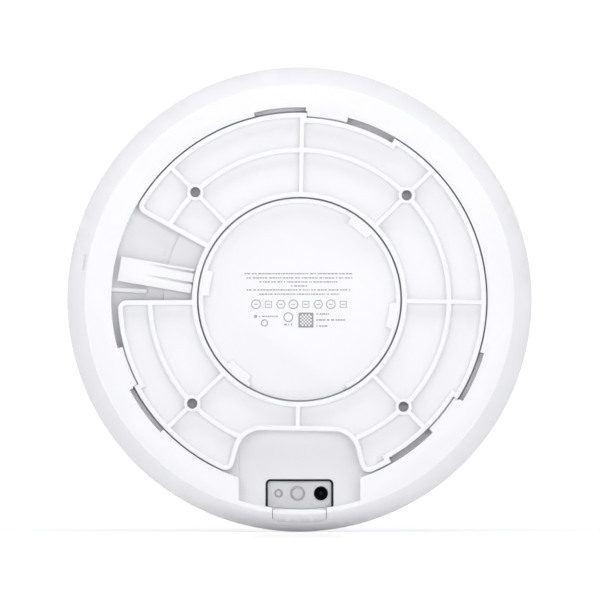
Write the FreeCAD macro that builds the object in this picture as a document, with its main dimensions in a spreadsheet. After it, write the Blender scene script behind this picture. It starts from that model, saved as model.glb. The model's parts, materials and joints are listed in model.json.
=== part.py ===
"""Ceiling access point with its twist-lock mounting plate.

Frame: the disc's axis lies along Y. The mounting plate's back plane, which meets the ceiling or
wall, is y = 0, and the domed front cover points to +Y. +Z points away from the cable bay.
Angles are measured from +X towards +Z, as seen from behind.
"""
import FreeCAD
import Part
import Sketcher

import math
import os
import re

DIMENSIONS = [
    # case
    ("case_radius", 110.0, "widest radius of the case"),
    ("case_depth", 48.0, "back plane to the crown of the front cover"),
    ("parting_depth", 22.0, "depth of the seam between rear housing and front cover"),
    ("rim_depth", 0.6, "how far the housing's flat rim sits in front of the back plane"),
    ("rim_radius", 101.7, "crease between the flat rim and the sloping side"),
    ("recess_radius", 89.0, "wall of the recess that takes the mounting plate"),
    ("recess_wall", 4.0, "thickness of that wall"),
    ("shell", 2.4, "wall thickness of the mouldings"),
    ("floor_depth", 9.4, "recess floor, outer part"),
    ("inner_floor_depth", 7.8, "recess floor, inner part"),
    ("floor_step_radius", 64.3, "step between the two floors"),
    ("floor_back", 11.4, "inner side of the recess floor"),
    ("hub_floor_depth", 5.2, "floor of the central dish"),
    ("hub_floor_thickness", 2.2, "floor of the central dish"),
    ("slope_wall", 2.57, "wall of the sloping side, measured from the axis"),
    ("hub_inner", 45.6, "inside of the central ring wall"),
    ("hub_outer", 47.8, "outside of the central ring wall"),
    ("hub_gap_start", 240.0, "start of the opening in the ring wall"),
    ("hub_gap_end", 298.0, "end of the opening in the ring wall"),
    ("tab_radius", 42.6, "inner reach of the ring wall's tabs"),
    ("tab_sweep", 15.5, "angle that a tab spans"),
    # bayonet
    ("lip_radius", 86.65, "inner reach of a bayonet lip"),
    ("lip_start", 75.0, "first lip"),
    ("lip_end", 87.66, "first lip"),
    ("lip_thickness", 2.0, "thickness of a lip"),
    ("entry_start", 88.1, "slot where a lug drops in"),
    ("entry_end", 103.7, "slot where a lug drops in"),
    ("entry_radius", 90.9, "outer reach of the entry slot"),
    ("track_depth", 7.3, "bottom of the track under a lip"),
    # cable bay
    ("bay_half", 28.7, "half width of the cable bay"),
    ("bay_top", 60.0, "distance from the axis to the bay's inner end"),
    ("bay_radius", 99.3, "outer end of the bay"),
    ("bay_depth", 12.0, "floor of the bay"),
    ("bay_wall", 1.8, "wall beside the bay"),
    ("bay_end_wall", 1.4, "wall at the outer end of the bay and round the window"),
    ("window_half", 16.1, "half width of the connector window"),
    ("window_top", 85.1, "distance from the axis to the window's inner edge"),
    ("window_corner", 2.3, "corner radius of the window"),
    ("window_back", 25.0, "end of the window's walls"),
    ("socket_clearance", 0.2, "clearance round the network socket in those walls"),
    ("cover_half", 12.6, "half width of the cable notch"),
    ("cover_bottom", 11.0, "depth of the cable notch"),
    ("cover_corner", 3.2, "corner radius of the cable notch"),
    ("cover_gap", 0.25, "clearance round the notch cover"),
    ("cover_wall", 2.2, "wall thickness of the notch cover"),
    # release
    ("latch_angle", 171.15, "centre line of the release tongue, in the plate's own frame"),
    ("slit_length", 7.2, "release slit in the sloping side"),
    ("slit_low", 4.3, "release slit"),
    ("slit_high", 6.9, "release slit"),
    ("catch_angle", 176.9, "catch rib on the recess floor"),
    ("catch_inner", 72.4, "inner end of the catch rib"),
    ("catch_width", 2.1, "thickness of the catch rib"),
    ("catch_top", 5.1, "back edge of the catch rib"),
    ("catch_round", 0.9, "rounding of its inner end"),
    # mounting plate
    ("plate_turn", 0.85, "play in the lock: the plate stands this far round from the housing"),
    ("plate_radius", 88.35, "outside of the plate"),
    ("plate_hole", 48.5, "central opening"),
    ("plate_inner", 50.9, "outside of the wall round the central opening"),
    ("plate_height", 6.8, "height of the ribs and walls"),
    ("step_radius", 86.0, "outside of the plate beside a bayonet lip"),
    ("step_start", 60.3, "start of the stepped-in stretch"),
    ("step_end", 88.6, "end of the stepped-in stretch"),
    ("lug_radius", 90.5, "outer reach of a lug"),
    ("lug_start", 76.2, "first lug"),
    ("lug_end", 88.3, "first lug"),
    ("lug_low", 3.1, "back face of a lug"),
    ("lug_high", 6.0, "front face of a lug"),
    ("web_thickness", 2.0, "thickness of the closed web between the ribs"),
    ("plate_corner", 4.2, "rounding of the outer wall's free corners"),
    ("rib_width", 2.1, "thickness of the radial ribs"),
    ("mid_rib_low", 183.0, "end of the circular rib below the latch opening"),
    ("mid_rib_high", 150.3, "its end above the latch opening"),
    ("mid_rib_left", 247.2, "its end at the arch's left leg"),
    ("mid_rib_right", 293.0, "its end at the arch's right leg"),
    ("mid_rib_inner", 69.5, "circular rib through the screw bosses"),
    ("mid_rib_outer", 71.9, "circular rib through the screw bosses"),
    ("boss_radius", 4.0, "screw boss"),
    ("screw_hole", 2.4, "radius of a mounting screw hole"),
    ("screw_square", 100.0, "side of the square of mounting screws"),
    ("notch_start", 152.0, "latch opening in the plate"),
    ("notch_end", 181.1, "latch opening in the plate"),
    ("arch_half", 17.0, "half length of the straight top of the arch over the bay"),
    ("arch_top", 62.1, "distance from the axis to the arch"),
    ("arch_radius", 11.3, "shoulder of the arch"),
    ("arch_lean", 15.0, "lean of the arch's legs"),
    ("arrow_radius", 84.0, "alignment arrow"),
    ("arrow_angle", 297.3, "alignment arrow"),
    ("arrow_length", 2.3, "alignment arrow"),
    ("arrow_spread", 1.0, "half the angle that its foot spans"),
    ("arrow_height", 0.6, "how far it stands out of the web"),
    # release tongue
    ("tongue_root", 51.2, "hinge line of the release tongue"),
    ("tongue_tip", 86.5, "free end of the release tongue"),
    ("tongue_width", 11.7, "width of the release tongue"),
    ("tongue_top", 2.4, "back face of the release tongue"),
    ("tongue_bottom", 4.8, "front face of the release tongue"),
    ("tongue_groove_end", 74.3, "where its tapering grooves run out"),
    ("tongue_groove_depth", 1.9, "depth of the grooves at the root"),
    ("tongue_groove_width", 0.9, "width of a groove"),
    ("upper_groove_shift", 4.2, "middle of the upper groove above the tongue's centre line"),
    ("lower_groove_shift", 1.1, "middle of the lower groove below it"),
    # connector panel
    ("panel_depth", 22.6, "face of the connector panel"),
    ("panel_thickness", 1.4, "thickness of the connector panel"),
    ("panel_half", 15.0, "half width of the connector panel"),
    ("panel_top", 86.15, "distance from the axis to its inner edge"),
    ("panel_bottom", 99.2, "its outer edge"),
    ("panel_corner", 1.4, "its rounded corners"),
    ("panel_foot", 1.2, "thickness of its feet"),
    ("panel_foot_inset", 0.3, "feet from the panel's edge"),
    ("panel_foot_start", 3.0, "feet from the panel's inner edge"),
    ("panel_foot_length", 6.0, "length of a foot"),
    ("controls_z", 91.9, "distance from the axis to the row of controls"),
    ("reset_x", 9.9, "reset button"),
    ("reset_hole", 2.0, "hole round the reset button"),
    ("reset_radius", 1.3, "reset button"),
    ("mode_x", 0.9, "function button"),
    ("mode_hole", 3.5, "hole round the function button"),
    ("mode_radius", 2.65, "function button"),
    ("power_x", 10.15, "power socket"),
    ("power_radius", 3.2, "outside of the power socket"),
    ("power_bore", 2.6, "bore of the power socket"),
    ("power_pin", 0.8, "centre pin"),
    ("power_proud", 0.3, "how far the power socket stands out of the panel"),
    ("power_depth", 8.6, "depth of its bore"),
    ("power_bottom", 0.9, "thickness of the power socket's bottom"),
    ("pin_recess", 3.2, "pin's tip below the socket's mouth"),
    ("button_proud", 0.5, "how far a button stands out of the panel"),
    ("button_stem", 1.3, "length of its stem behind the panel"),
    ("flange_gap", 0.1, "flange behind the panel"),
    ("flange_thickness", 0.6, "flange behind the panel"),
    ("switch_half", 1.5, "half width of a switch"),
    ("switch_gap", 2.6, "panel to the body of a switch"),
    ("plunger_gap", 2.2, "panel to the plunger of a switch"),
    ("plunger_radius", 0.7, "plunger of a switch"),
    ("button_flange", 0.7, "extra radius of the flange behind the panel"),
    # front cover
    ("side_radius", 14.0, "rounding from the side to the crown"),
    ("side_depth", 24.0, "depth where the rounding starts"),
    ("reveal", 0.4, "reveal groove at the parting seam"),
    ("reveal_depth", 0.8, "how deep the reveal groove goes"),
    ("light_inner", 31.0, "light ring"),
    ("light_outer", 33.2, "light ring"),
    ("light_depth", 2.2, "crown to the bottom of the light ring's groove"),
    ("light_gap", 0.02, "clearance on each side of the light ring"),
    # board and what stands on it
    ("board_depth", 27.4, "back face of the main board"),
    ("board_thickness", 1.6, "main board"),
    ("board_radius", 84.0, "main board"),
    ("board_tail_half", 19.0, "half width of the board's tail under the window"),
    ("board_tail_start", 76.0, "start of the board's tail"),
    ("board_tail_end", 96.5, "end of the board's tail"),
    ("power_clearance", 0.15, "clearance round the power socket in panel and board"),
    ("shield_height", 2.6, "shield cans"),
    ("shield_sheet", 0.3, "sheet metal of the shield cans"),
    ("pad_thickness", 0.5, "thermal pads"),
    ("pad_inset", 4.0, "thermal pads from the edge of a shield"),
    ("core_thickness", 14.0, "transformer core"),
    ("core_height", 11.0, "transformer core"),
    ("core_leg", 3.0, "legs of the transformer core"),
    ("core_yoke", 2.0, "yokes of the transformer core"),
    ("winding_overlap", 0.5, "winding into the core"),
    ("winding_inset", 2.0, "winding from the core's faces"),
    ("capacitor_radius", 4.0, "smoothing capacitors"),
    ("capacitor_height", 10.5, "smoothing capacitors"),
    ("spreader_radius", 90.0, "heat spreader"),
    ("spreader_thickness", 1.5, "heat spreader"),
    ("post_circle", 78.0, "circle of the board's fixing posts"),
    ("post_radius", 3.2, "fixing posts"),
    ("post_bore", 1.25, "pilot bores in the posts"),
    ("screw_clear", 1.7, "screw holes in board and spreader"),
    ("screw_shank", 1.2, "fixing screws"),
    ("screw_head", 2.8, "fixing screws"),
    ("screw_head_height", 1.9, "fixing screws"),
    ("screw_length", 10.0, "fixing screws"),
    ("screw_drive", 1.1, "radius of the drive recess"),
    ("screw_drive_depth", 0.9, "depth of the drive recess"),
    ("antenna_circle", 66.0, "circle on which the antennas stand"),
    ("antenna_foot", 9.0, "length of an antenna's foot"),
    ("antenna_width", 24.0, "width of an antenna's blade"),
    ("antenna_stem", 7.2, "width of an antenna's foot and upright"),
    ("antenna_reach", 11.7, "outer reach of its blade past the upright"),
    ("antenna_slot_start", 3.6, "slot in its blade"),
    ("antenna_slot_width", 10.8, "slot in its blade"),
    ("antenna_sheet", 0.5, "antenna sheet metal"),
    ("antenna_blade_low", 4.2, "gap from the spreader to the antenna's top plate"),
    ("led_circle", 32.1, "circle of the light sources"),
    ("led_board_half", 5.5, "half width of the ring-shaped light board"),
    ("led_board_thickness", 1.0, "light board"),
    ("led_standoff", 1.6, "gap from the spreader to the light board"),
    ("led_side", 2.0, "light source"),
    ("led_height", 0.8, "light source"),
    ("led_post", 1.5, "posts under the light board"),
    ("led_post_angle", 15.0, "first post under the light board"),
    ("guide_gap", 0.1, "light sources to the light guide"),
    ("guide_end", 3.6, "crown to the front end of the light guide"),
    # network socket
    ("socket_half", 8.0, "half width of the network socket"),
    ("socket_low", 14.1, "back face of the network socket"),
    ("socket_length", 21.3, "length of the network socket"),
    ("socket_front", 84.9, "distance from the axis to the socket's mouth"),
    ("mouth_half", 6.0, "half width of the mouth"),
    ("mouth_low", 15.0, "mouth"),
    ("mouth_high", 22.3, "mouth"),
    ("mouth_length", 14.0, "depth of the mouth"),
    ("socket_sheet", 0.4, "shield round the socket"),
    ("insert_recess", 0.3, "insert behind the shield's front edge"),
    ("keyway_half", 3.0, "half width of the keyway for the plug's catch"),
    ("keyway_height", 2.2, "height of the keyway"),
    ("keyway_length", 12.0, "depth of the keyway"),
    ("contact_pitch", 1.02, "spacing of the contacts"),
    ("contact_width", 0.4, "width of a contact"),
    ("contact_height", 0.9, "height of a contact"),
    ("contact_start", 4.0, "contacts behind the mouth"),
]

ALIASES = {name for name, value, note in DIMENSIONS}
STATIONS = 3
TAB_ANGLES = (50.0, 170.0, 230.0, 350.0)
RIBS = {0.0: "plate_radius", 45.0: "plate_radius", 90.0: "plate_radius", 135.0: "plate_radius",
        225.0: "plate_radius", 270.0: "arch_top", 315.0: "step_radius"}
BOSS_ANGLES = (45.0, 135.0, 225.0, 315.0)
POST_ANGLES = (20.0, 90.0, 160.0, 220.0, 320.0)
ANTENNA_ANGLES = {"antenna_upper_right": 45.0, "antenna_upper_left": 135.0,
                  "antenna_lower_left": 225.0, "antenna_lower_right": 315.0}
LED_COUNT = 12
LED_POSTS = 3
CONTACT_COUNT = 8
FAR = "140"
OVERLAP = "1"
SHIELDS = {"processor_shield": ("-18", "18", "-20", "14"),
           "low_band_radio_shield": ("-58", "-30", "-14", "18"),
           "high_band_radio_shield": ("30", "58", "-14", "18")}
TRANSFORMER = ("-52", "-36", "-44")
CAPACITORS = (("36", "-38"), ("46", "-38"), ("41", "-48"))

doc = FreeCAD.newDocument("CeilingAccessPoint")


# ---------------------------------------------------------------- dimensions

def fill_sheet():
    """Put every driving dimension in the spreadsheet, one row each."""
    sheet = doc.addObject("Spreadsheet::Sheet", "Dimensions")
    for row, (name, value, note) in enumerate(DIMENSIONS, start=1):
        sheet.set(f"A{row}", name)
        sheet.set(f"B{row}", str(value))
        sheet.set(f"C{row}", note)
        sheet.setAlias(f"B{row}", name)
    doc.recompute()
    return sheet


SHEET = fill_sheet()


def linked(text):
    """Turn bare dimension names in a formula into references to the sheet."""
    return re.sub(r"[a-z][a-z_]*", lambda word: f"Dimensions.{word.group()}"
                  if word.group() in ALIASES else word.group(), str(text))


def value(text):
    """Work out a formula from the sheet."""
    result = SHEET.evalExpression(linked(text))
    return float(getattr(result, "Value", result))


def bind(target, prop, text):
    target.setExpression(prop, linked(text))


# ---------------------------------------------------------------- sketches and features

def new_body(label):
    body = doc.addObject("PartDesign::Body", label)
    body.Label = label
    return body


def origin_feature(body, role):
    return next(item for item in body.Origin.OriginFeatures if item.Role == role)


def polar(radius, angle):
    """Formulas for a point given by radius and angle."""
    return f"({radius}) * cos({angle})", f"({radius}) * sin({angle})"


def sector(inner, outer, start, end):
    """Corners of an annular sector; an arc is a radius with its sense of turning."""
    return [(*polar(inner, start), None),
            (*polar(outer, start), (outer, 1)),
            (*polar(outer, end), None),
            (*polar(inner, end), (inner, -1))]


def rectangle(x_low, x_high, y_low, y_high):
    return [(x_low, y_low, None), (x_high, y_low, None), (x_high, y_high, None), (x_low, y_high, None)]


def arc_between(start, end, radius, sense):
    """The arc under 180 degrees from start to end; sense is 1 for anticlockwise."""
    chord = end - start
    half = chord.Length / 2
    rise = math.sqrt(max(radius * radius - half * half, 0.0))
    left = FreeCAD.Vector(-chord.y, chord.x, 0) / chord.Length
    centre = (start + end) / 2 + left * rise * sense
    first, last = (start, end) if sense > 0 else (end, start)
    low = math.atan2(first.y - centre.y, first.x - centre.x)
    high = math.atan2(last.y - centre.y, last.x - centre.x)
    circle = Part.Circle(centre, FreeCAD.Vector(0, 0, 1), radius)
    return Part.ArcOfCircle(circle, low, high)


def pin_point(sketch, geometry, position, x_text, y_text):
    """Tie one point of a sketch to its two formulas."""
    for text, kind, axis in ((x_text, "DistanceX", -2), (y_text, "DistanceY", -1)):
        number = value(text)
        if abs(number) < 1e-7:
            sketch.addConstraint(Sketcher.Constraint("PointOnObject", geometry, position, axis))
            continue
        index = sketch.addConstraint(Sketcher.Constraint(kind, -1, 1, geometry, position, number))
        bind(sketch, f"Constraints[{index}]", text)


def draw_outline(sketch, corners):
    """Draw a closed outline of lines and arcs and constrain it fully."""
    points = [FreeCAD.Vector(value(x), value(y), 0) for x, y, bend in corners]
    starts = []
    ends = []
    for index, (x_text, y_text, bend) in enumerate(corners):
        start = points[index]
        end = points[(index + 1) % len(points)]
        if bend is None:
            geometry = sketch.addGeometry(Part.LineSegment(start, end))
            starts.append((geometry, 1))
            ends.append((geometry, 2))
            continue
        radius, sense = bend
        geometry = sketch.addGeometry(arc_between(start, end, value(radius), sense))
        starts.append((geometry, 1 if sense > 0 else 2))
        ends.append((geometry, 2 if sense > 0 else 1))
        constraint = sketch.addConstraint(Sketcher.Constraint("Radius", geometry, value(radius)))
        bind(sketch, f"Constraints[{constraint}]", radius)
    for index, (x_text, y_text, bend) in enumerate(corners):
        sketch.addConstraint(Sketcher.Constraint("Coincident", *ends[index - 1], *starts[index]))
        pin_point(sketch, *starts[index], x_text, y_text)


def draw_circle(sketch, radius, x_text="0", y_text="0"):
    centre = FreeCAD.Vector(value(x_text), value(y_text), 0)
    geometry = sketch.addGeometry(Part.Circle(centre, FreeCAD.Vector(0, 0, 1), value(radius)))
    constraint = sketch.addConstraint(Sketcher.Constraint("Radius", geometry, value(radius)))
    bind(sketch, f"Constraints[{constraint}]", radius)
    pin_point(sketch, geometry, 3, x_text, y_text)


def new_sketch(body, name, role, outlines=(), circles=()):
    sketch = body.newObject("Sketcher::SketchObject", name)
    sketch.AttachmentSupport = (origin_feature(body, role), [""])
    sketch.MapMode = "FlatFace"
    for corners in outlines:
        draw_outline(sketch, corners)
    for circle in circles:
        draw_circle(sketch, *circle)
    return sketch


def extrude(body, name, low, high, outlines=(), circles=(), cut=False):
    """Pad or pocket an outline seen from behind, from depth low to depth high."""
    sketch = new_sketch(body, f"{name}_outline", "XZ_Plane", outlines, circles)
    bind(sketch, "AttachmentOffset.Base.z", f"-({low})")
    kind = "PartDesign::Pocket" if cut else "PartDesign::Pad"
    feature = body.newObject(kind, name)
    feature.Profile = sketch
    feature.Reversed = not cut
    bind(feature, "Length", f"({high}) - ({low})")
    return feature


def revolve(body, name, corners, cut=False):
    """Turn a profile of (radius, depth) corners round the disc's axis."""
    sketch = new_sketch(body, f"{name}_profile", "XY_Plane", [corners])
    kind = "PartDesign::Groove" if cut else "PartDesign::Revolution"
    feature = body.newObject(kind, name)
    feature.Profile = sketch
    feature.ReferenceAxis = (sketch, ["V_Axis"])
    feature.Angle = 360.0
    return feature


def radial_box(body, name, inner, outer, width, low, high, angle, cut=False):
    """A straight block that runs outwards from the axis at an angle."""
    kind = "PartDesign::SubtractiveBox" if cut else "PartDesign::AdditiveBox"
    feature = body.newObject(kind, name)
    bind(feature, "Length", f"({outer}) - ({inner})")
    bind(feature, "Width", f"({high}) - ({low})")
    bind(feature, "Height", width)
    turn = FreeCAD.Rotation(FreeCAD.Vector(0, 1, 0), -value(angle))
    corner = FreeCAD.Vector(value(inner), value(low), -value(width) / 2)
    feature.Placement = FreeCAD.Placement(turn.multVec(corner), turn)
    return feature


def repeat_round(body, name, features, count):
    pattern = body.newObject("PartDesign::PolarPattern", name)
    pattern.Originals = features
    pattern.Axis = (origin_feature(body, "Y_Axis"), [""])
    pattern.Angle = 360.0
    pattern.Occurrences = count
    body.Tip = pattern
    return pattern


def edges_along_y(shape, spots, reach):
    """Names of the straight edges along Y that stand near any of the given (x, z) spots."""
    names = []
    for index, edge in enumerate(shape.Edges, start=1):
        first = edge.Vertexes[0].Point
        last = edge.Vertexes[-1].Point
        if math.hypot(first.x - last.x, first.z - last.z) > 1e-4 or abs(first.y - last.y) < 1e-4:
            continue
        if any(math.hypot(first.x - x, first.z - z) < reach for x, z in spots):
            names.append(f"Edge{index}")
    return names


def round_edges(body, name, spots, radius, reach=1.0):
    doc.recompute()
    base = body.Tip
    fillet = body.newObject("PartDesign::Fillet", name)
    fillet.Base = (base, edges_along_y(base.Shape, spots, reach))
    bind(fillet, "Radius", radius)
    return fillet


# ---------------------------------------------------------------- plain solids

def block(label, x_low, x_high, y_low, y_high, z_low, z_high):
    """A box between two formulas on each axis."""
    box = doc.addObject("Part::Box", label)
    box.Label = label
    for prop, low, high in (("Length", x_low, x_high), ("Width", y_low, y_high), ("Height", z_low, z_high)):
        bind(box, prop, f"({high}) - ({low})")
    for axis, low in (("x", x_low), ("y", y_low), ("z", z_low)):
        bind(box, f"Placement.Base.{axis}", low)
    return box


def rod(label, radius, low, high, x="0", z="0"):
    """A cylinder along the disc's axis, from depth low to depth high."""
    cylinder = doc.addObject("Part::Cylinder", label)
    cylinder.Label = label
    cylinder.Placement = FreeCAD.Placement(FreeCAD.Vector(), FreeCAD.Rotation(FreeCAD.Vector(1, 0, 0), -90))
    bind(cylinder, "Radius", radius)
    bind(cylinder, "Height", f"({high}) - ({low})")
    for axis, text in (("x", x), ("y", low), ("z", z)):
        bind(cylinder, f"Placement.Base.{axis}", text)
    return cylinder


def fuse(label, shapes):
    result = doc.addObject("Part::MultiFuse", label)
    result.Label = label
    result.Shapes = shapes
    return result


def cut(label, base, tools):
    for tool in tools[:-1]:
        partial = doc.addObject("Part::Cut", f"{label}_stage")
        partial.Base = base
        partial.Tool = tool
        base = partial
    result = doc.addObject("Part::Cut", label)
    result.Label = label
    result.Base = base
    result.Tool = tools[-1]
    return result


def group(label, shapes):
    """Separate solids that share one node."""
    result = doc.addObject("Part::Compound", label)
    result.Label = label
    result.Links = shapes
    return result


# ---------------------------------------------------------------- mounting plate

def offset_sector(inner, outer, start, end, growth):
    """A sector whose straight sides are moved outwards, parallel to themselves, by growth."""
    corners = []
    for radius, angle, side in ((inner, start, 1), (outer, start, 1), (outer, end, -1), (inner, end, -1)):
        x, z = polar(radius, angle)
        corners.append((f"{x} + {side} * ({growth}) * sin({angle})",
                        f"{z} - {side} * ({growth}) * cos({angle})"))
    reach = f"sqrt(({outer})^2 + ({growth})^2)"
    root = f"sqrt(({inner})^2 + ({growth})^2)"
    bends = [None, (reach, 1), None, (root, -1)]
    return [(x, z, bend) for (x, z), bend in zip(corners, bends)]


def arch_outline(growth):
    """The opening over the cable bay: a flat top, round shoulders and legs that lean outwards."""
    radius = f"(arch_radius + {growth})"
    top = f"-arch_top + {growth}"
    shoulder_x = f"(arch_half + {radius} * cos(arch_lean))"
    shoulder_z = f"(-arch_top - arch_radius + {radius} * sin(arch_lean))"
    foot_z = f"-{FAR}"
    foot_x = f"{shoulder_x} + ({shoulder_z} + {FAR}) * tan(arch_lean)"
    return [("arch_half", top, (radius, -1)),
            (shoulder_x, shoulder_z, None),
            (foot_x, foot_z, None),
            (f"-({foot_x})", foot_z, None),
            (f"-{shoulder_x}", shoulder_z, (radius, -1)),
            ("-arch_half", top, None)]


def latch_opening_outline(growth):
    """The opening over the release tongue; with growth it reaches in through the ring's own wall."""
    inner = "plate_inner" if growth == "0" else "plate_hole / 2"
    return offset_sector(inner, FAR, "notch_start", "notch_end", growth)


def plate_plan(body, name, inset, height):
    """The plate's plan, drawn in by inset: a ring, open over the latch and over the cable bay."""
    extrude(body, f"{name}_ring", "0", height,
            circles=[(f"plate_radius - {inset}",), (f"plate_hole + {inset}",)])
    extrude(body, f"{name}_latch_opening", "0", height, [latch_opening_outline(inset)], cut=True)
    extrude(body, f"{name}_bay_opening", "0", height, [arch_outline(inset)], cut=True)
    step = extrude(body, f"{name}_bayonet_step", "0", height,
                   [offset_sector(f"step_radius - {inset}", FAR, "step_start", "step_end", inset)], cut=True)
    repeat_round(body, f"{name}_bayonet_steps", [step], STATIONS)
    plate_corner_rounding(body, name, inset)


def plate_corner_rounding(body, name, inset):
    """Round the free corners of the outer wall beside both openings."""
    radial_slack = 0.5
    angle_slack = 2.5
    side_slack = 8.0
    doc.recompute()
    shape = body.Tip.Shape
    latch_corners = []
    bay_corners = []
    for edge in edges_along_y(shape, [(0, 0)], float(FAR)):
        point = shape.getElement(edge).Vertexes[0].Point
        angle = math.degrees(math.atan2(point.z, point.x)) % 360
        if math.hypot(point.x, point.z) < value(f"step_radius - {inset}") - radial_slack:
            continue
        if min(abs(angle - value("notch_start")), abs(angle - value("notch_end"))) < angle_slack:
            latch_corners.append((point.x, point.z))
        elif point.z < -value("arch_top") and abs(point.x) < value("bay_half") + side_slack:
            bay_corners.append((point.x, point.z))
    round_edges(body, f"{name}_latch_corners", latch_corners, f"plate_corner - {inset}")
    round_edges(body, f"{name}_bay_corners", bay_corners, f"plate_corner - {inset}")


def plate_cells():
    """Everything that is hollowed out of the plate from behind, apart from the ribs."""
    cells = new_body("plate_cells")
    plate_plan(cells, "cells", "shell", "plate_height - web_thickness")
    return cells


def mounting_plate():
    cells = plate_cells()
    body = new_body("mounting_plate")
    plate_plan(body, "plate", "0", "plate_height")
    hollow = body.newObject("PartDesign::Boolean", "plate_hollow")
    hollow.Type = "Cut"
    hollow.Group = [cells]
    body.Tip = hollow
    web = "plate_height - web_thickness / 2"
    for name, start, end in (("mid_rib_left_part", "mid_rib_low", "mid_rib_left"),
                             ("mid_rib_right_part", "mid_rib_right", "360"),
                             ("mid_rib_top_part", "0", "mid_rib_high")):
        extrude(body, name, "0", web, [sector("mid_rib_inner", "mid_rib_outer", start, end)])
    for angle, outer in RIBS.items():
        radial_box(body, f"rib_{int(angle)}", "plate_hole + shell / 2", f"{outer} - shell / 2", "rib_width",
                   "0", web, angle)
    bosses = [("boss_radius", *polar("screw_square / sqrt(2)", angle)) for angle in BOSS_ANGLES]
    extrude(body, "bosses", "0", "plate_height", circles=bosses)
    holes = [("screw_hole", *polar("screw_square / sqrt(2)", angle)) for angle in BOSS_ANGLES]
    extrude(body, "screw_holes", "0", "plate_height", circles=holes, cut=True)
    lug = extrude(body, "lug", "lug_low", "lug_high",
                  [sector("step_radius - shell / 2", "lug_radius", "lug_start", "lug_end")])
    repeat_round(body, "lugs", [lug], STATIONS)
    arrow = [(*polar("arrow_radius - arrow_length / 2", "arrow_angle"), None),
             (*polar("arrow_radius + arrow_length / 2", "arrow_angle - arrow_spread"), None),
             (*polar("arrow_radius + arrow_length / 2", "arrow_angle + arrow_spread"), None)]
    extrude(body, "arrow", "plate_height - web_thickness - arrow_height", web, [arrow])
    body.Placement = FreeCAD.Placement(FreeCAD.Vector(), FreeCAD.Rotation(FreeCAD.Vector(0, 1, 0),
                                                                          value("plate_turn")))
    return body


# ---------------------------------------------------------------- release tongue

def release_tongue():
    """The springy tongue that keeps the bayonet locked, hinged at the plate's inner wall."""
    body = new_body("release_tongue")
    half = "tongue_width / 2"
    extrude(body, "blade", "tongue_top", "tongue_bottom",
            [rectangle("tongue_root", "tongue_tip", f"-{half}", half)])
    groove = [(f"tongue_root - {OVERLAP}", f"tongue_top - {OVERLAP}", None),
              ("tongue_groove_end", f"tongue_top - {OVERLAP}", None),
              ("tongue_groove_end", "tongue_top", None),
              (f"tongue_root - {OVERLAP}", "tongue_top + tongue_groove_depth", None)]
    for name, shift in (("upper_groove", "-upper_groove_shift"), ("lower_groove", "lower_groove_shift")):
        sketch = new_sketch(body, f"{name}_profile", "XY_Plane", [groove])
        bind(sketch, "AttachmentOffset.Base.z", shift)
        feature = body.newObject("PartDesign::Pocket", name)
        feature.Profile = sketch
        feature.Midplane = True
        bind(feature, "Length", "tongue_groove_width")
    turn = FreeCAD.Rotation(FreeCAD.Vector(0, 1, 0), value("plate_turn - latch_angle"))
    body.Placement = FreeCAD.Placement(FreeCAD.Vector(), turn)
    return body


# ---------------------------------------------------------------- rear housing

def slope_radius(depth):
    """Formula for the radius of the housing's sloping side at a depth."""
    return f"(rim_radius + (case_radius - rim_radius) * (({depth}) - rim_depth) / (parting_depth - rim_depth))"


def housing_shell(body):
    under_rim = "rim_depth + shell"
    wall_outer = "recess_radius + recess_wall"
    profile = [("0", "hub_floor_depth", None),
               ("hub_inner", "hub_floor_depth", None),
               ("hub_inner", "rim_depth", None),
               ("hub_outer", "rim_depth", None),
               ("hub_outer", "inner_floor_depth", None),
               ("floor_step_radius", "inner_floor_depth", None),
               ("floor_step_radius", "floor_depth", None),
               ("recess_radius", "floor_depth", None),
               ("recess_radius", "rim_depth", None),
               ("rim_radius", "rim_depth", None),
               ("case_radius", "parting_depth", None),
               ("case_radius - slope_wall", "parting_depth", None),
               (f"{slope_radius(under_rim)} - slope_wall", under_rim, None),
               (wall_outer, under_rim, None),
               (wall_outer, "floor_back", None),
               ("hub_inner", "floor_back", None),
               ("hub_inner", "hub_floor_depth + hub_floor_thickness", None),
               ("0", "hub_floor_depth + hub_floor_thickness", None)]
    revolve(body, "shell_turning", profile)


def housing_bay(body):
    """The cable bay, the connector window below it and the walls round both."""
    outer_half = "bay_half + bay_wall"
    outer_arc = "bay_radius + bay_end_wall"

    def bay_plan(half, inner_end, arc):
        corner = f"-sqrt(({arc})^2 - ({half})^2)"
        return [(f"-({half})", inner_end, None),
                (f"-({half})", corner, (arc, 1)),
                (half, corner, None),
                (half, inner_end, None)]

    extrude(body, "bay_base", f"floor_back - {OVERLAP}", "bay_depth + bay_wall",
            [bay_plan(outer_half, "-bay_top + bay_wall", outer_arc)])
    extrude(body, "bay_walls", "rim_depth + shell / 2", "bay_depth + bay_wall",
            [bay_plan(outer_half, "-recess_radius - recess_wall / 2", outer_arc)])
    window_outer = "window_half + bay_end_wall"
    extrude(body, "window_walls", "bay_depth + bay_wall / 2", "window_back",
            [bay_plan(window_outer, "-window_top + bay_end_wall", outer_arc)])
    extrude(body, "bay_space", "0", "bay_depth", [bay_plan("bay_half", "-bay_top", "bay_radius")], cut=True)
    window = [("-window_half", "-window_top - window_corner", None),
              ("-window_half", "-sqrt(bay_radius^2 - window_half^2)", ("bay_radius", 1)),
              ("window_half", "-sqrt(bay_radius^2 - window_half^2)", None),
              ("window_half", "-window_top - window_corner", ("window_corner", 1)),
              ("window_half - window_corner", "-window_top", None),
              ("-window_half + window_corner", "-window_top", ("window_corner", 1))]
    extrude(body, "window_space", f"bay_depth - {OVERLAP}", "window_back", [window], cut=True)
    extrude(body, "socket_opening", "socket_low", "window_back",
            [rectangle("-socket_half - socket_clearance", "socket_half + socket_clearance",
                       "-socket_front - socket_clearance", "-window_top + bay_end_wall + bay_wall")], cut=True)


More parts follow.
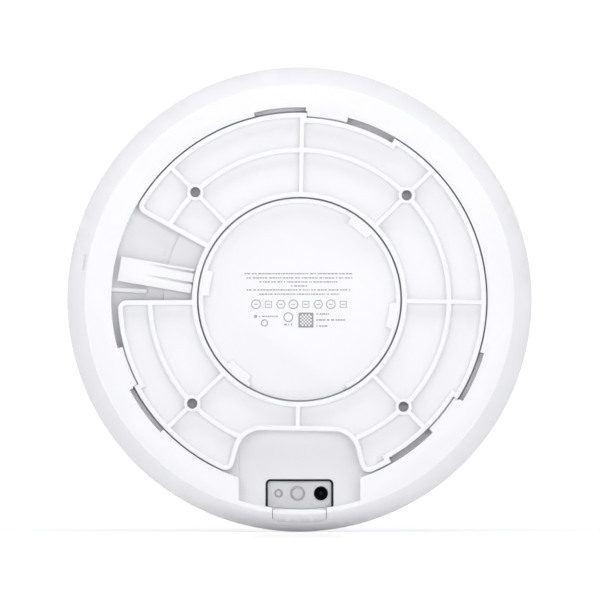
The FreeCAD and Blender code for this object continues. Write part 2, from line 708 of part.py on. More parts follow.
def cover_plan(growth):
    """Outline of the cable notch seen from below: (x, depth), with rounded lower corners."""
    half = f"(cover_half + {growth})"
    bottom = f"(cover_bottom + {growth})"
    corner = f"(cover_corner + {growth})"
    return [(f"-{half}", "0", None),
            (half, "0", None),
            (half, f"{bottom} - {corner}", (corner, 1)),
            (f"{half} - {corner}", bottom, None),
            (f"-{half} + {corner}", bottom, (corner, 1)),
            (f"-{half}", f"{bottom} - {corner}", None)]


def extrude_down(body, name, corners, start, end, cut=False):
    """Pad or pocket an outline of (x, depth) from start to end below the axis."""
    sketch = new_sketch(body, f"{name}_outline", "XY_Plane", [corners])
    bind(sketch, "AttachmentOffset.Base.z", f"-({start})")
    feature = body.newObject("PartDesign::Pocket" if cut else "PartDesign::Pad", name)
    feature.Profile = sketch
    feature.Reversed = not cut
    bind(feature, "Length", f"({end}) - ({start})")
    return feature


def housing_bayonet(body):
    """Lips, entry slots and the tracks that the plate's lugs run in."""
    entry = extrude(body, "entry_slot", "0", "track_depth",
                    [sector(f"recess_radius - {OVERLAP}", "entry_radius", "entry_start", "entry_end")], cut=True)
    track = extrude(body, "track", "rim_depth + lip_thickness", "track_depth",
                    [sector(f"recess_radius - {OVERLAP}", "entry_radius", "lip_start", "entry_end")], cut=True)
    repeat_round(body, "bayonet_cuts", [entry, track], STATIONS)
    lip = extrude(body, "lip", "rim_depth", "rim_depth + lip_thickness",
                  [sector("lip_radius", f"recess_radius + {OVERLAP}", "lip_start", "lip_end")])
    repeat_round(body, "lips", [lip], STATIONS)


def housing_hub(body):
    """The gap in the central ring wall, and its tabs."""
    middle = "(hub_gap_start + hub_gap_end) / 2"
    for name, start, end in (("gap_left", "hub_gap_start", middle), ("gap_right", middle, "hub_gap_end")):
        extrude(body, name, "0", "hub_floor_depth",
                [sector(f"hub_inner - {OVERLAP}", f"hub_outer + {OVERLAP}", start, end)], cut=True)
    tabs = [sector("tab_radius", f"hub_inner + {OVERLAP}", f"{angle} - tab_sweep / 2",
                   f"{angle} + tab_sweep / 2") for angle in TAB_ANGLES]
    extrude(body, "tabs", "rim_depth", f"hub_floor_depth + {OVERLAP}", tabs)


def housing_posts(body):
    """Posts that carry the main board, with pilot bores for its screws."""
    posts = [("post_radius", *polar("post_circle", angle)) for angle in POST_ANGLES]
    extrude(body, "posts", f"floor_back - {OVERLAP}", "board_depth", circles=posts)
    bores = [("post_bore", *polar("post_circle", angle)) for angle in POST_ANGLES]
    extrude(body, "post_bores", "floor_back + 2", "board_depth", circles=bores, cut=True)


def catch_rib(body):
    """The low rib beside the tongue, with a rounded inner end."""
    radial_box(body, "catch_rib", "catch_inner", f"recess_radius + {OVERLAP}", "catch_width", "catch_top",
               f"floor_depth + {OVERLAP}", "catch_angle")
    angle = math.radians(value("catch_angle"))
    inner = value("catch_inner")
    half = value("catch_width") / 2
    corners = [(inner * math.cos(angle) - side * math.sin(angle),
                inner * math.sin(angle) + side * math.cos(angle)) for side in (-half, half)]
    round_edges(body, "catch_rib_end", corners, "catch_round", reach=0.3)


def rear_housing():
    body = new_body("rear_housing")
    housing_shell(body)
    housing_bay(body)
    extrude_down(body, "cable_notch", cover_plan("cover_gap"), "bay_radius - cover_wall", "case_radius", cut=True)
    housing_bayonet(body)
    housing_hub(body)
    catch_rib(body)
    slit_angle = "latch_angle - plate_turn"
    radial_box(body, "release_slit", f"recess_radius - {OVERLAP}", "case_radius", "slit_length",
               "slit_low", "slit_high", slit_angle, cut=True)
    housing_posts(body)
    return body


# ---------------------------------------------------------------- notch cover

def port_cover():
    """Snap-in cover of the cable notch: it follows the rim and the sloping side."""
    body = new_body("port_cover")
    near = "recess_radius"
    inner_end = "bay_radius + cover_gap / 2"
    extrude_down(body, "cover_block", cover_plan("0"), inner_end, f"case_radius + {OVERLAP}")
    outside = [("rim_radius", "rim_depth", None),
               (FAR, "rim_depth", None),
               (FAR, "parting_depth", None),
               ("case_radius", "parting_depth", None)]
    revolve(body, "slope_cut", outside, cut=True)
    above = [(near, f"-{OVERLAP}", None),
             (FAR, f"-{OVERLAP}", None),
             (FAR, "rim_depth", None),
             (near, "rim_depth", None)]
    revolve(body, "rim_cut", above, cut=True)
    inside_low = "rim_depth + cover_wall"
    inside = [(near, inside_low, None),
              (f"{slope_radius(inside_low)} - cover_wall", inside_low, None),
              (f"{slope_radius('parting_depth')} - cover_wall", "parting_depth", None),
              (near, "parting_depth", None)]
    revolve(body, "inside_cut", inside, cut=True)
    extrude(body, "inner_edge_cut", "0", "parting_depth",
            circles=[(inner_end,)], cut=True)
    return body


# ---------------------------------------------------------------- connector panel and controls

def io_panel():
    """Panel behind the window, with holes for the controls and feet on the main board."""
    body = new_body("io_panel")
    corner = "panel_corner"
    end = "sqrt(panel_bottom^2 - panel_half^2)"
    plan = [("-panel_half", f"-panel_top - {corner}", None),
            ("-panel_half", f"-{end}", ("panel_bottom", 1)),
            ("panel_half", f"-{end}", None),
            ("panel_half", f"-panel_top - {corner}", (corner, 1)),
            (f"panel_half - {corner}", "-panel_top", None),
            (f"-panel_half + {corner}", "-panel_top", (corner, 1))]
    back = "panel_depth + panel_thickness"
    extrude(body, "panel_sheet", "panel_depth", back, [plan])
    extrude(body, "control_holes", "panel_depth", back,
            circles=[("reset_hole", "-reset_x", "-controls_z"),
                     ("mode_hole", "-mode_x", "-controls_z"),
                     ("power_radius + power_clearance", "power_x", "-controls_z")], cut=True)
    near = "-panel_top - panel_foot_start"
    far = f"{near} - panel_foot_length"
    outer = "(panel_half - panel_foot_inset)"
    feet = [rectangle(f"-{outer}", f"-{outer} + panel_foot", far, near),
            rectangle(f"{outer} - panel_foot", outer, far, near)]
    extrude(body, "panel_feet", "panel_depth + panel_thickness / 2", "board_depth", feet)
    return body


def push_button(label, hole, radius, x):
    """A button cap with the flange that keeps it behind the panel and a stem to its switch."""
    body = new_body(label)
    back = "panel_depth + panel_thickness"
    spot = (f"-{x}", "-controls_z")
    extrude(body, f"{label}_cap", "panel_depth - button_proud", f"{back} + button_stem",
            circles=[(radius, *spot)])
    extrude(body, f"{label}_flange", f"{back} + flange_gap", f"{back} + flange_gap + flange_thickness",
            circles=[(f"{hole} + button_flange", *spot)])
    return body


def tact_switch(label, x):
    """A small square switch on the board, with its plunger under the button."""
    back = "panel_depth + panel_thickness"
    base = block(f"{label}_base", f"-{x} - switch_half", f"-{x} + switch_half", f"{back} + switch_gap",
                 "board_depth", "-controls_z - switch_half", "-controls_z + switch_half")
    plunger = rod(f"{label}_plunger", "plunger_radius", f"{back} + plunger_gap", "board_depth", f"-{x}",
                  "-controls_z")
    return fuse(label, [base, plunger])


def power_socket():
    """Barrel socket that stands in a hole of the board, and its pin."""
    spot = ("power_x", "-controls_z")
    mouth = "panel_depth - power_proud"
    bottom = f"{mouth} + power_depth"
    barrel = rod("power_barrel", "power_radius", mouth, f"{bottom} + power_bottom", *spot)
    bore = rod("power_bore_space", "power_bore", f"{mouth} - {OVERLAP}", bottom, *spot)
    pin = rod("power_socket_pin", "power_pin", f"{mouth} + pin_recess", bottom, *spot)
    return [cut("power_socket", barrel, [bore]), pin]


# ---------------------------------------------------------------- network socket

def network_socket():
    """Shielded eight-way socket: shield, insulating insert and contacts. Its mouth faces the notch."""
    inner_end = "-socket_front + socket_length"
    sheet = "socket_sheet"
    outside = block("socket_can", "-socket_half", "socket_half", "socket_low", "board_depth",
                    "-socket_front", inner_end)
    inside = block("socket_can_space", f"-socket_half + {sheet}", f"socket_half - {sheet}",
                   f"socket_low + {sheet}", f"board_depth - {sheet}",
                   f"-socket_front - {OVERLAP}", f"{inner_end} - {sheet}")
    shield = cut("network_socket_shield", outside, [inside])
    insert = block("insert_block", f"-socket_half + {sheet}", f"socket_half - {sheet}",
                   f"socket_low + {sheet}", f"board_depth - {sheet}",
                   "-socket_front + insert_recess", f"{inner_end} - {sheet}")
    mouth = block("mouth_space", "-mouth_half", "mouth_half", "mouth_low", "mouth_high",
                  f"-socket_front - {OVERLAP}", "-socket_front + mouth_length")
    keyway = block("keyway_space", "-keyway_half", "keyway_half", f"mouth_high - {OVERLAP}",
                   "mouth_high + keyway_height", f"-socket_front - {OVERLAP}", "-socket_front + keyway_length")
    insert_part = cut("network_socket_insert", insert, [mouth, keyway])
    contacts = []
    for index in range(CONTACT_COUNT):
        offset = f"contact_pitch * ({index - (CONTACT_COUNT - 1) / 2})"
        contacts.append(block(f"contact_{index + 1}", f"{offset} - contact_width / 2",
                              f"{offset} + contact_width / 2", "mouth_low", "mouth_low + contact_height",
                              "-socket_front + contact_start", "-socket_front + mouth_length"))
    return [shield, insert_part, group("network_socket_contacts", contacts)]


# ---------------------------------------------------------------- main board and its parts

def main_board():
    body = new_body("main_board")
    front = "board_depth + board_thickness"
    extrude(body, "board_disc", "board_depth", front, circles=[("board_radius",)])
    extrude(body, "board_tail", "board_depth", front,
            [rectangle("-board_tail_half", "board_tail_half", "-board_tail_end", "-board_tail_start")])
    clearances = [("screw_clear", *polar("post_circle", angle)) for angle in POST_ANGLES]
    clearances.append(("power_radius + power_clearance", "power_x", "-controls_z"))
    extrude(body, "board_holes", "board_depth", front, circles=clearances, cut=True)
    return body


def shield_can(label, x_low, x_high, z_low, z_high):
    """A pressed lid over one section of the board, open towards the board."""
    front = "board_depth + board_thickness"
    outside = block(f"{label}_outside", x_low, x_high, front, f"{front} + shield_height", z_low, z_high)
    inside = block(f"{label}_inside", f"{x_low} + shield_sheet", f"{x_high} - shield_sheet",
                   f"{front} - {OVERLAP}", f"{front} + shield_height - shield_sheet",
                   f"{z_low} + shield_sheet", f"{z_high} - shield_sheet")
    return cut(label, outside, [inside])


def thermal_pads():
    low = "board_depth + board_thickness + shield_height"
    pads = [block(f"pad_on_{name}", f"{x_low} + pad_inset", f"{x_high} - pad_inset", low,
                  f"{low} + pad_thickness", f"{z_low} + pad_inset", f"{z_high} - pad_inset")
            for name, (x_low, x_high, z_low, z_high) in SHIELDS.items()]
    return group("thermal_pads", pads)


def power_parts():
    """The transformer and the capacitors of the power stage, on the back of the board."""
    left, right, low = TRANSFORMER
    high = f"{low} + core_thickness"
    base = "board_depth - core_height"
    core = block("transformer_core", left, right, base, "board_depth", low, high)
    window = block("transformer_window", f"{left} + core_leg", f"{right} - core_leg", f"{base} + core_yoke",
                   "board_depth - core_yoke", f"{low} - {OVERLAP}", f"{high} + {OVERLAP}")
    winding = block("transformer_winding", f"{left} + core_leg - winding_overlap",
                    f"{right} - core_leg + winding_overlap", f"{base} + core_yoke - winding_overlap",
                    "board_depth - core_yoke + winding_overlap", f"{low} + winding_inset",
                    f"{high} - winding_inset")
    frame = cut("transformer_frame", core, [window])
    transformer = fuse("power_transformer", [frame, winding])
    cans = [rod(f"capacitor_{index + 1}", "capacitor_radius", "board_depth - capacitor_height",
                "board_depth", x, z) for index, (x, z) in enumerate(CAPACITORS)]
    return [transformer, group("smoothing_capacitors", cans)]


def spreader_low():
    return "board_depth + board_thickness + shield_height + pad_thickness"


def heat_spreader():
    """Aluminium plate in front of the board: it cools the shields and grounds the antennas."""
    low = spreader_low()
    plate = rod("spreader_plate", "spreader_radius", low, f"{low} + spreader_thickness")
    spacers = [rod(f"spreader_spacer_{index}", "post_radius", "board_depth + board_thickness", low,
                   *polar("post_circle", angle)) for index, angle in enumerate(POST_ANGLES)]
    body = fuse("spreader_with_spacers", [plate, *spacers])
    holes = [rod(f"spreader_hole_{index}", "screw_clear", "board_depth",
                 f"{low} + spreader_thickness + {OVERLAP}", *polar("post_circle", angle))
             for index, angle in enumerate(POST_ANGLES)]
    return cut("heat_spreader", body, holes)


def board_screws():
    """Screws through spreader and board into the housing's posts."""
    seat = f"({spreader_low()} + spreader_thickness)"
    screws = []
    for index, angle in enumerate(POST_ANGLES):
        spot = polar("post_circle", angle)
        shank = rod(f"screw_shank_{index}", "screw_shank", f"{seat} - screw_length", seat, *spot)
        head = rod(f"screw_head_{index}", "screw_head", seat, f"{seat} + screw_head_height", *spot)
        socket = rod(f"screw_socket_{index}", "screw_drive", f"{seat} + screw_head_height - screw_drive_depth",
                     f"{seat} + screw_head_height + {OVERLAP}", *spot)
        screws.append(cut(f"screw_{index}", fuse(f"screw_blank_{index}", [shank, head]), [socket]))
    return group("board_screws", screws)


def antenna(label, angle):
    """A folded sheet antenna: a foot on the spreader, an upright and a top plate."""
    body = new_body(label)
    seat = f"({spreader_low()} + spreader_thickness)"
    top = f"({seat} + antenna_blade_low)"
    sheet = "antenna_sheet"
    circle = "antenna_circle"
    radial_box(body, f"{label}_foot", circle, f"{circle} + antenna_foot", "antenna_stem", seat,
               f"{seat} + {sheet}", angle)
    radial_box(body, f"{label}_upright", circle, f"{circle} + {sheet}", "antenna_stem", seat, top, angle)
    radial_box(body, f"{label}_top", f"{circle} - antenna_foot", f"{circle} + antenna_reach", "antenna_width",
               f"{top} - {sheet}", top, angle)
    radial_box(body, f"{label}_slot", f"{circle} + antenna_slot_start", f"{circle} + antenna_reach + {OVERLAP}",
               "antenna_slot_width", f"{top} - {OVERLAP}", f"{top} + {OVERLAP}", angle, cut=True)
    return body


# ---------------------------------------------------------------- front cover and light ring

def crown_formulas(inset):
    """Formulas for the cover's profile: crown radius, its centre and the tangent point."""
    reach = "(case_radius - side_radius)"
    drop = "(case_depth - side_depth)"
    crown = f"(({reach}^2 + {drop}^2 - side_radius^2) / (2 * ({drop} - side_radius)))"
    centre = f"(case_depth - {crown})"
    share = f"(({crown} - {inset}) / ({crown} - side_radius))"
    tangent = (f"{reach} * {share}", f"{centre} + (side_depth - {centre}) * {share}")
    return f"({crown} - {inset})", tangent


def front_cover():
    body = new_body("front_cover")
    crown, tangent = crown_formulas("0")
    inner_crown, inner_tangent = crown_formulas("shell")
    profile = [("case_radius - shell", "parting_depth", None),
               ("case_radius - reveal_depth", "parting_depth", None),
               ("case_radius - reveal_depth", "parting_depth + reveal", None),
               ("case_radius", "parting_depth + reveal", None),
               ("case_radius", "side_depth", ("side_radius", 1)),
               (*tangent, (crown, 1)),
               ("0", "case_depth", None),
               ("0", "case_depth - shell", (inner_crown, -1)),
               (*inner_tangent, ("side_radius - shell", -1)),
               ("case_radius - shell", "side_depth", None)]
    revolve(body, "cover_turning", profile)
    extrude(body, "light_groove", "case_depth - light_depth", f"case_depth + {OVERLAP}",
            circles=[("light_outer",), ("light_inner",)], cut=True)
    return body


def light_ring():
    """Diffuser that fills the groove in the cover, flush with the crown."""
    body = new_body("light_ring")
    crown = crown_formulas("0")[0]
    floor = "case_depth - light_depth"

    def crown_depth(radius):
        return f"case_depth - {crown} + sqrt({crown}^2 - ({radius})^2)"

    inner = "light_inner + light_gap"
    outer = "light_outer - light_gap"
    profile = [(inner, floor, None),
               (outer, floor, None),
               (outer, crown_depth(outer), (crown, 1)),
               (inner, crown_depth(inner), None)]
    revolve(body, "ring_turning", profile)
    return body


def light_parts():
    """Light board on short posts, its light sources, and the guide up to the cover."""
    seat = f"({spreader_low()} + spreader_thickness)"
    board_low = f"({seat} + led_standoff)"
    board_high = f"({board_low} + led_board_thickness)"
    outer = rod("light_board_outer", "led_circle + led_board_half", board_low, board_high)
    inner = rod("light_board_inner", "led_circle - led_board_half", "board_depth", "case_depth")
    sheet = cut("light_board_sheet", outer, [inner])
    posts = [rod(f"light_board_post_{index}", "led_post", seat, board_low,
                 *polar("led_circle", f"led_post_angle + {index * 360 / LED_POSTS}")) for index in range(LED_POSTS)]
    board = fuse("light_board", [sheet, *posts])
    sources = []
    for index in range(LED_COUNT):
        x, z = polar("led_circle", f"{index * 360 / LED_COUNT}")
        sources.append(block(f"light_source_{index + 1}", f"{x} - led_side / 2", f"{x} + led_side / 2", board_high,
                             f"{board_high} + led_height", f"{z} - led_side / 2", f"{z} + led_side / 2"))
    low = f"{board_high} + led_height + guide_gap"
    high = "case_depth - guide_end"
    tube = cut("light_guide", rod("guide_outer", "light_outer", low, high),
               [rod("guide_inner", "light_inner", "board_depth", "case_depth")])
    return [board, group("light_sources", sources), tube]


# ---------------------------------------------------------------- assembly

def build_all():
    parts = [mounting_plate(), release_tongue(), rear_housing(), port_cover(), io_panel(),
             push_button("reset_button", "reset_hole", "reset_radius", "reset_x"),
             push_button("function_button", "mode_hole", "mode_radius", "mode_x"),
             tact_switch("reset_switch", "reset_x"), tact_switch("function_switch", "mode_x"),
             *power_socket(), *network_socket(), main_board()]
    parts += [shield_can(label, *limits) for label, limits in SHIELDS.items()]
    parts += [thermal_pads(), *power_parts(), heat_spreader(), board_screws()]
    parts += [antenna(label, angle) for label, angle in ANTENNA_ANGLES.items()]
    parts += [*light_parts(), front_cover(), light_ring()]
    return parts


def check_all(parts):
    """Stop if any object failed, or any piece's shape is missing or broken."""
    for item in doc.Objects:
        if "Invalid" in item.State or "Error" in item.State:
            raise RuntimeError(f"{item.Label} failed: {item.State}")
    for item in parts:
        if item.Shape.isNull() or not item.Shape.isValid() or item.Shape.Volume <= 0:
            raise RuntimeError(f"{item.Label} has no valid shape")


def export_all(parts):
    os.makedirs("parts", exist_ok=True)
    for item in parts:
        item.Shape.exportStep(os.path.join("parts", f"{item.Label}.step"))
        print(f"{item.Label}: {len(item.Shape.Solids)} solid(s), {item.Shape.Volume / 1000:.2f} cm3")


pieces = build_all()
doc.recompute()
check_all(pieces)
export_all(pieces)
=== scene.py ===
"""Looks of the ceiling access point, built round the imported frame. Lengths are in metres."""
import bpy
import bmesh
import json
import math
import random
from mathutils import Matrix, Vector


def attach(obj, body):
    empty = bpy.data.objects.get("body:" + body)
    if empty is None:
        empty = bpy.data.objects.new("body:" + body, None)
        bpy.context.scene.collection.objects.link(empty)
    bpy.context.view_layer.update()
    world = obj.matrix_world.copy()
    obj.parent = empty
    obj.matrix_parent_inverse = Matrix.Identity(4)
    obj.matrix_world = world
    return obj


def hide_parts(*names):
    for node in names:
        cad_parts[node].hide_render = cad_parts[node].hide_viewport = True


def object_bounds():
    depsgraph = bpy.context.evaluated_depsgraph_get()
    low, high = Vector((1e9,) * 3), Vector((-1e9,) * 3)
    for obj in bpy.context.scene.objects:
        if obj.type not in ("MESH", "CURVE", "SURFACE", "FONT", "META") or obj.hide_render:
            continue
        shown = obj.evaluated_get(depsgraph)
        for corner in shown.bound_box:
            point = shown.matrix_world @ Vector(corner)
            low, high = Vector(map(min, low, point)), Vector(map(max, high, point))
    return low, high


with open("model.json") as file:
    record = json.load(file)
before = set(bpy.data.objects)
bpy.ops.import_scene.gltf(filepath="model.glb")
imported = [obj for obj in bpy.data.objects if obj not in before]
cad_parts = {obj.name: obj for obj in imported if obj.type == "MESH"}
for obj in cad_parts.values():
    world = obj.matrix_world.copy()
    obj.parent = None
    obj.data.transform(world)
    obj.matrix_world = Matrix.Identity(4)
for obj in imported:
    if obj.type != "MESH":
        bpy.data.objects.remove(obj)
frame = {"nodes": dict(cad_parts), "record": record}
CAD_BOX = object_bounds()
NODES = frame["nodes"]
MM = 0.001

# Print in the central dish, in millimetres. It lies on the dish floor between two depths.
PRINT_BACK = 5.19
PRINT_FACE = 5.16
TEXT_ROWS = ((12.2, -26, 25), (10.2, -25, 25), (8.3, -19, 18), (6.4, -4, 4), (4.5, -25, 24),
             (2.5, -19, 19))        # height, left end, right end
SIDE_ROWS = ((-6.9, 14.0), (-9.7, 21.5), (-12.6, 14.0))     # height, right end
SIDE_ROWS_LEFT = 8.0
MARK_COUNT = 8
MARK_LEFT = -20.6
MARK_PITCH = 5.9
MARK_HEIGHT = -2.3
MARK_SIDES = (28, 4, 6)             # a ring, a square and a hexagon in turn
LOOPS = ((-20.8, -8.0, 0.8, 0.1, 20), (-16.6, -11.1, 1.7, 1.2, 28), (-5.3, -8.4, 2.3, 1.8, 32))
SQUARE_CORNER = (-0.5, -13.3)
SQUARE_SIDE = 7.1
SQUARE_CELLS = 9
CELL_FILL = 0.98

# Rounding of the moulded parts.
WELD_DISTANCE = 2e-6
FLAT_ANGLE = math.radians(0.6)
HARD_ANGLE = math.radians(28)
SHARP_ANGLE = math.radians(32)
BEVEL_STEPS = 2


# ---------------------------------------------------------------- node helpers

class Shader:
    """A small helper that adds and links shader nodes."""

    def __init__(self, name):
        self.material = bpy.data.materials.new(name)
        self.material.use_nodes = True
        self.tree = self.material.node_tree
        self.surface = self.tree.nodes["Principled BSDF"]
        self.position = self.add("ShaderNodeTexCoord").outputs["Object"]

    def add(self, kind, **settings):
        node = self.tree.nodes.new(kind)
        for key, setting in settings.items():
            if key in node.inputs:
                node.inputs[key].default_value = setting
            else:
                setattr(node, key, setting)
        return node

    def link(self, source, target):
        self.tree.links.new(source, target)

    def set(self, **settings):
        for key, setting in settings.items():
            self.surface.inputs[key.replace("_", " ")].default_value = setting

    def noise(self, scale, detail=2.0, roughness=0.5, source=None):
        node = self.add("ShaderNodeTexNoise", Scale=scale, Detail=detail, Roughness=roughness)
        self.link(source or self.position, node.inputs["Vector"])
        return node.outputs["Fac"]

    def spread(self, source, low, high, to_low, to_high):
        node = self.add("ShaderNodeMapRange")
        limits = {"From Min": low, "From Max": high, "To Min": to_low, "To Max": to_high}
        for key, setting in limits.items():
            node.inputs[key].default_value = setting
        self.link(source, node.inputs["Value"])
        return node.outputs["Result"]

    def mix(self, factor, first, second):
        node = self.add("ShaderNodeMix", data_type="RGBA")
        self.link(factor, node.inputs["Factor"])
        for socket, colour in ((node.inputs[6], first), (node.inputs[7], second)):
            if isinstance(colour, bpy.types.NodeSocket):
                self.link(colour, socket)
            else:
                socket.default_value = (*colour, 1.0)
        return node.outputs[2]

    def bump(self, height, distance, strength=1.0, below=None):
        node = self.add("ShaderNodeBump", Strength=strength, Distance=distance)
        self.link(height, node.inputs["Height"])
        if below is not None:
            self.link(below, node.inputs["Normal"])
        return node.outputs["Normal"]


def moulded_plastic(name, colour, shade, roughness, grain=0.35, grain_depth=0.012, coat=0.0,
                    corner_shade=0.14, specular=0.5):
    """Spark-eroded moulding: a fine grain, faint flow marks, handling marks and scuffs that
    change the gloss, and painted shade that darkens the colour in the corners."""
    shader = Shader(name)
    flow = shader.noise(14.0, detail=3.0)
    fine = shader.noise(1.0 / (grain * MM), detail=2.0, roughness=0.6)
    handled = shader.noise(55.0, detail=5.0, roughness=0.65)
    tone = shader.mix(shader.spread(flow, 0.35, 0.65, 0.0, 1.0), colour, shade)
    darker = [part * 0.93 for part in shade]
    speck = shader.mix(shader.spread(fine, 0.70, 0.86, 0.0, 0.35), tone, darker)
    # Painted shade: an occlusion probe darkens the base colour in corners and along rib feet.
    corner = shader.add("ShaderNodeAmbientOcclusion", samples=6, Distance=2.2 * MM)
    shade_amount = shader.spread(corner.outputs["AO"], 0.25, 0.9, corner_shade, 0.0)
    shaded_tone = shader.mix(shade_amount, speck, [part * 0.5 for part in shade])
    shader.link(shaded_tone, shader.surface.inputs["Base Color"])
    scuffs = shader.noise(700.0, detail=6.0, roughness=0.75)
    worn = shader.spread(scuffs, 0.60, 0.72, 0.0, 0.05)
    gloss = shader.spread(handled, 0.38, 0.68, roughness + 0.05, roughness - 0.07)
    rough = shader.add("ShaderNodeMath", operation="ADD")
    shader.link(gloss, rough.inputs[0])
    shader.link(worn, rough.inputs[1])
    shader.link(rough.outputs["Value"], shader.surface.inputs["Roughness"])
    waviness = shader.bump(flow, 0.03 * MM, 0.5)
    surface = shader.bump(fine, grain_depth * MM, 1.0, waviness)
    shader.link(surface, shader.surface.inputs["Normal"])
    shader.set(IOR=1.49, Coat_Weight=coat, Coat_Roughness=0.25, Specular_IOR_Level=specular)
    return shader.material


def sheet_metal(name, colour, dull, roughness, stretch=(1.0, 1.0, 1.0), scale=900.0):
    """Rolled or plated metal with grain lines and dull handling spots."""
    shader = Shader(name)
    mapping = shader.add("ShaderNodeMapping")
    mapping.inputs["Scale"].default_value = stretch
    shader.link(shader.position, mapping.inputs["Vector"])
    grain = shader.noise(scale, detail=3.0, source=mapping.outputs["Vector"])
    spots = shader.noise(90.0, detail=4.0)
    colour_out = shader.mix(shader.spread(spots, 0.4, 0.7, 0.0, 1.0), colour, dull)
    shader.link(colour_out, shader.surface.inputs["Base Color"])
    gloss = shader.spread(grain, 0.3, 0.7, roughness - 0.06, roughness + 0.1)
    shader.link(gloss, shader.surface.inputs["Roughness"])
    shader.link(shader.bump(grain, 0.01 * MM, 0.6), shader.surface.inputs["Normal"])
    shader.set(Metallic=1.0)
    return shader.material


def circuit_board(name):
    """Solder mask over copper: darker tracks under the green and small pads."""
    shader = Shader(name)
    tracks = shader.add("ShaderNodeTexBrick", Scale=160.0)
    tracks.inputs["Mortar Size"].default_value = 0.012
    shader.link(shader.position, tracks.inputs["Vector"])
    cloud = shader.noise(30.0, detail=3.0)
    patches = shader.spread(cloud, 0.35, 0.65, 0.0, 1.0)
    green = shader.mix(patches, (0.004, 0.014, 0.009), (0.006, 0.02, 0.012))
    traced = shader.mix(tracks.outputs["Fac"], green, (0.009, 0.03, 0.018))
    shader.link(traced, shader.surface.inputs["Base Color"])
    relief = shader.bump(tracks.outputs["Fac"], 0.03 * MM, 0.8)
    shader.link(relief, shader.surface.inputs["Normal"])
    shader.link(shader.spread(cloud, 0.3, 0.7, 0.28, 0.4), shader.surface.inputs["Roughness"])
    return shader.material


def milky_diffuser(name, colour):
    """Diffuser that takes light in: soft scattering with tiny bubbles."""
    shader = Shader(name)
    cloud = shader.noise(220.0, detail=2.0)
    darker = [part * 0.95 for part in colour]
    tone = shader.mix(shader.spread(cloud, 0.3, 0.7, 0.0, 1.0), colour, darker)
    shader.link(tone, shader.surface.inputs["Base Color"])
    shader.link(shader.spread(cloud, 0.3, 0.7, 0.24, 0.34), shader.surface.inputs["Roughness"])
    shader.link(shader.bump(cloud, 0.006 * MM, 0.7), shader.surface.inputs["Normal"])
    shader.set(Subsurface_Weight=0.3, Subsurface_Scale=0.002)
    return shader.material


def printed_ink(name, colour):
    """Pad-printed grey ink: slightly patchy, a little rougher than the plastic."""
    shader = Shader(name)
    patchy = shader.noise(2600.0, detail=3.0)
    paler = [min(1.0, part * 1.12) for part in colour]
    tone = shader.mix(shader.spread(patchy, 0.3, 0.7, 0.0, 1.0), colour, paler)
    shader.link(tone, shader.surface.inputs["Base Color"])
    shader.link(shader.spread(patchy, 0.3, 0.7, 0.5, 0.65), shader.surface.inputs["Roughness"])
    shader.link(shader.bump(patchy, 0.003 * MM, 0.6), shader.surface.inputs["Normal"])
    return shader.material


WHITE = (0.80, 0.80, 0.825)
WHITE_SHADE = (0.785, 0.785, 0.81)
MATERIALS = {
    "white_housing": moulded_plastic("housing_plastic", WHITE, WHITE_SHADE, 0.52),
    "white_plate": moulded_plastic("plate_plastic", WHITE, WHITE_SHADE, 0.48, grain=0.3),
    "white_cover": moulded_plastic("cover_plastic",
        (0.76, 0.765, 0.785), (0.745, 0.75, 0.77), 0.42, grain=0.25),
    "light_diffuser": milky_diffuser("diffuser", (0.80, 0.86, 0.93)),
    # The panel white is lighter than the housing white: partly its own near-white, partly painted
    # light that offsets the shade in its deep pocket.
    "panel_plastic": moulded_plastic("panel_plastic",
        (0.92, 0.92, 0.935), (0.905, 0.905, 0.92), 0.5),
    "button_plastic": moulded_plastic("button_plastic",
        (0.80, 0.80, 0.81), (0.78, 0.78, 0.79), 0.38, coat=0.2),
    "black_plastic": moulded_plastic("black_plastic",
        (0.004, 0.004, 0.0045), (0.006, 0.006, 0.0065), 0.6, specular=0.12),
    "bright_metal": sheet_metal("nickel_plate", (0.72, 0.71, 0.68), (0.6, 0.59, 0.57), 0.25),
    "gold_contact": sheet_metal("gold_plate", (0.83, 0.61, 0.24), (0.75, 0.54, 0.2), 0.22),
    "board": circuit_board("solder_mask"),
    "shield_metal": sheet_metal("tinned_sheet",
        (0.66, 0.66, 0.64), (0.54, 0.54, 0.53), 0.36, (1, 1, 12)),
    "thermal_pad": moulded_plastic("silicone_pad", (0.36, 0.40, 0.44), (0.33, 0.37, 0.42), 0.8),
    "aluminium": sheet_metal("aluminium_sheet",
        (0.76, 0.77, 0.78), (0.66, 0.67, 0.68), 0.34, (1, 1, 16)),
    "ferrite": moulded_plastic("ferrite",
        (0.035, 0.034, 0.033), (0.06, 0.055, 0.05), 0.6, grain=0.5),
    "capacitor_can": sheet_metal("can_sleeve",
        (0.5, 0.51, 0.53), (0.42, 0.43, 0.45), 0.4, (1, 12, 1)),
    "screw_steel": sheet_metal("zinc_plate", (0.6, 0.6, 0.58), (0.48, 0.48, 0.46), 0.32),
    "led_package": milky_diffuser("led_resin", (0.86, 0.83, 0.62)),
}
NODE_SLOTS = {part["node"]: part["material_slot"] for part in frame["record"]["subparts"]}


# ---------------------------------------------------------------- mesh helpers

def new_piece(name, mesh, material, body, stands_for=()):
    piece = bpy.data.objects.new(name, mesh)
    bpy.context.scene.collection.objects.link(piece)
    mesh.materials.clear()
    mesh.materials.append(material)
    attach(piece, body)
    if stands_for:
        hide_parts(*stands_for)
    return piece


def body_of_node(node):
    bodies = frame["record"]["behaviour"]["bodies"]
    return next(body for body, members in bodies.items() if node in members)


